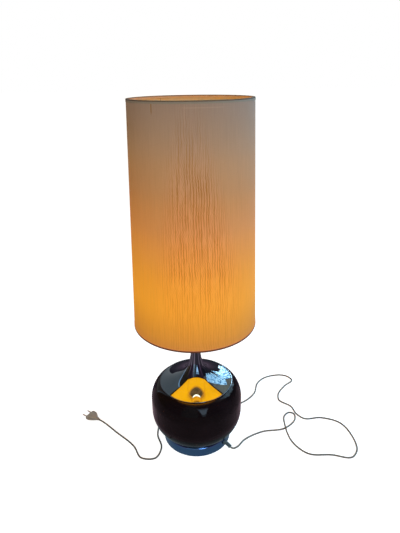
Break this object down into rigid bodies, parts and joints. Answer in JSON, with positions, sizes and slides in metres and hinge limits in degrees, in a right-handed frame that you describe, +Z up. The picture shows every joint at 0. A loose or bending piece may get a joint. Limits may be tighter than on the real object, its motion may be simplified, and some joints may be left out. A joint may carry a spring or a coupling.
{
  "type": "table lamp",
  "caption": "Tall table lamp: glossy black bowl on a polished foot ring, mirror cap drawn up into a trumpet neck, and a tall tapered fabric drum shade that turns on a screw lampholder.",
  "frame": {"origin": "centre of the felt pad's underside, where the lamp's axis meets the table", "axes": "+Z up along the lamp's axis, -Y towards the viewer of the picture, +X to the viewer's right"},
  "size_m": [0.767, 0.4012, 0.8826],
  "materials": {
    "felt": "dense dark felt pad",
    "iron": "rough cast ballast",
    "blue_chrome": "polished metal with a blue cast",
    "steel": "zinc plated steel",
    "black_enamel": "deep glossy black enamel",
    "mirror_chrome": "dark mirror polish",
    "holder_plastic": "dark moulded resin",
    "ivory_plastic": "ivory moulded resin",
    "porcelain": "white porcelain",
    "brass": "pressed brass",
    "black_glass": "black glass insulator",
    "bulb_metal": "rolled thread on thin sheet",
    "opal_glass": "lit opal glass",
    "frame_wire": "white coated wire",
    "shade_cloth": "slubbed woven cloth, lit from within",
    "shade_lining": "smooth translucent lining",
    "edge_tape": "woven edge tape",
    "cord_sheath": "grey flexible sheath",
    "sleeve_rubber": "dark ribbed rubber",
    "plug_plastic": "grey-tan moulded plug",
    "pin_metal": "nickel plated pins"
  },
  "bodies": {
    "base": {"base_felt": "felt", "ballast": "iron", "foot_ring": "blue_chrome", "bottom_washer": "steel", "bottom_nut": "steel", "bowl": "black_enamel", "inner_washer": "steel", "inner_nut": "steel", "cap": "mirror_chrome", "centre_rod": "steel", "neck_cup": "mirror_chrome", "holder_base": "holder_plastic", "lock_screw": "steel", "holder_body": "holder_plastic", "holder_insert": "porcelain", "terminal_screws": "brass", "thread_shell": "brass", "centre_contact": "brass", "lower_ring": "holder_plastic", "inner_lead": "cord_sheath", "strain_relief": "sleeve_rubber", "cord": "cord_sheath", "plug_body": "plug_plastic", "plug_pins": "pin_metal"},
    "push_bar": {"switch_bar": "ivory_plastic"},
    "clamp": {"clamp_ring": "holder_plastic"},
    "bulb": {"bulb_contact": "steel", "bulb_insulator": "black_glass", "bulb_cap": "bulb_metal", "bulb_glass": "opal_glass"},
    "shade": {"shade_carrier": "frame_wire", "shade_top_ring": "frame_wire", "shade_cover": "shade_cloth", "shade_liner": "shade_lining", "top_trim": "edge_tape", "bottom_trim": "edge_tape"}
  },
  "joints": [
    {"name": "shade_turn", "type": "hinge", "parent": "base", "child": "shade", "pos_m": [0, 0, 0.4], "axis": [0, 0, 1], "continuous": true},
    {"name": "clamp_turn", "type": "hinge", "parent": "base", "child": "clamp", "pos_m": [0, 0, 0.405], "axis": [0, 0, 1], "range_deg": [0, 720]},
    {"name": "bulb_turn", "type": "hinge", "parent": "base", "child": "bulb", "pos_m": [0, 0, 0.41], "axis": [0, 0, 1], "range_deg": [0, 1080]},
    {"name": "switch_push", "type": "slide", "parent": "base", "child": "push_bar", "axis": [1, 0, 0], "range_m": [-0.006, 0]}
  ]
}
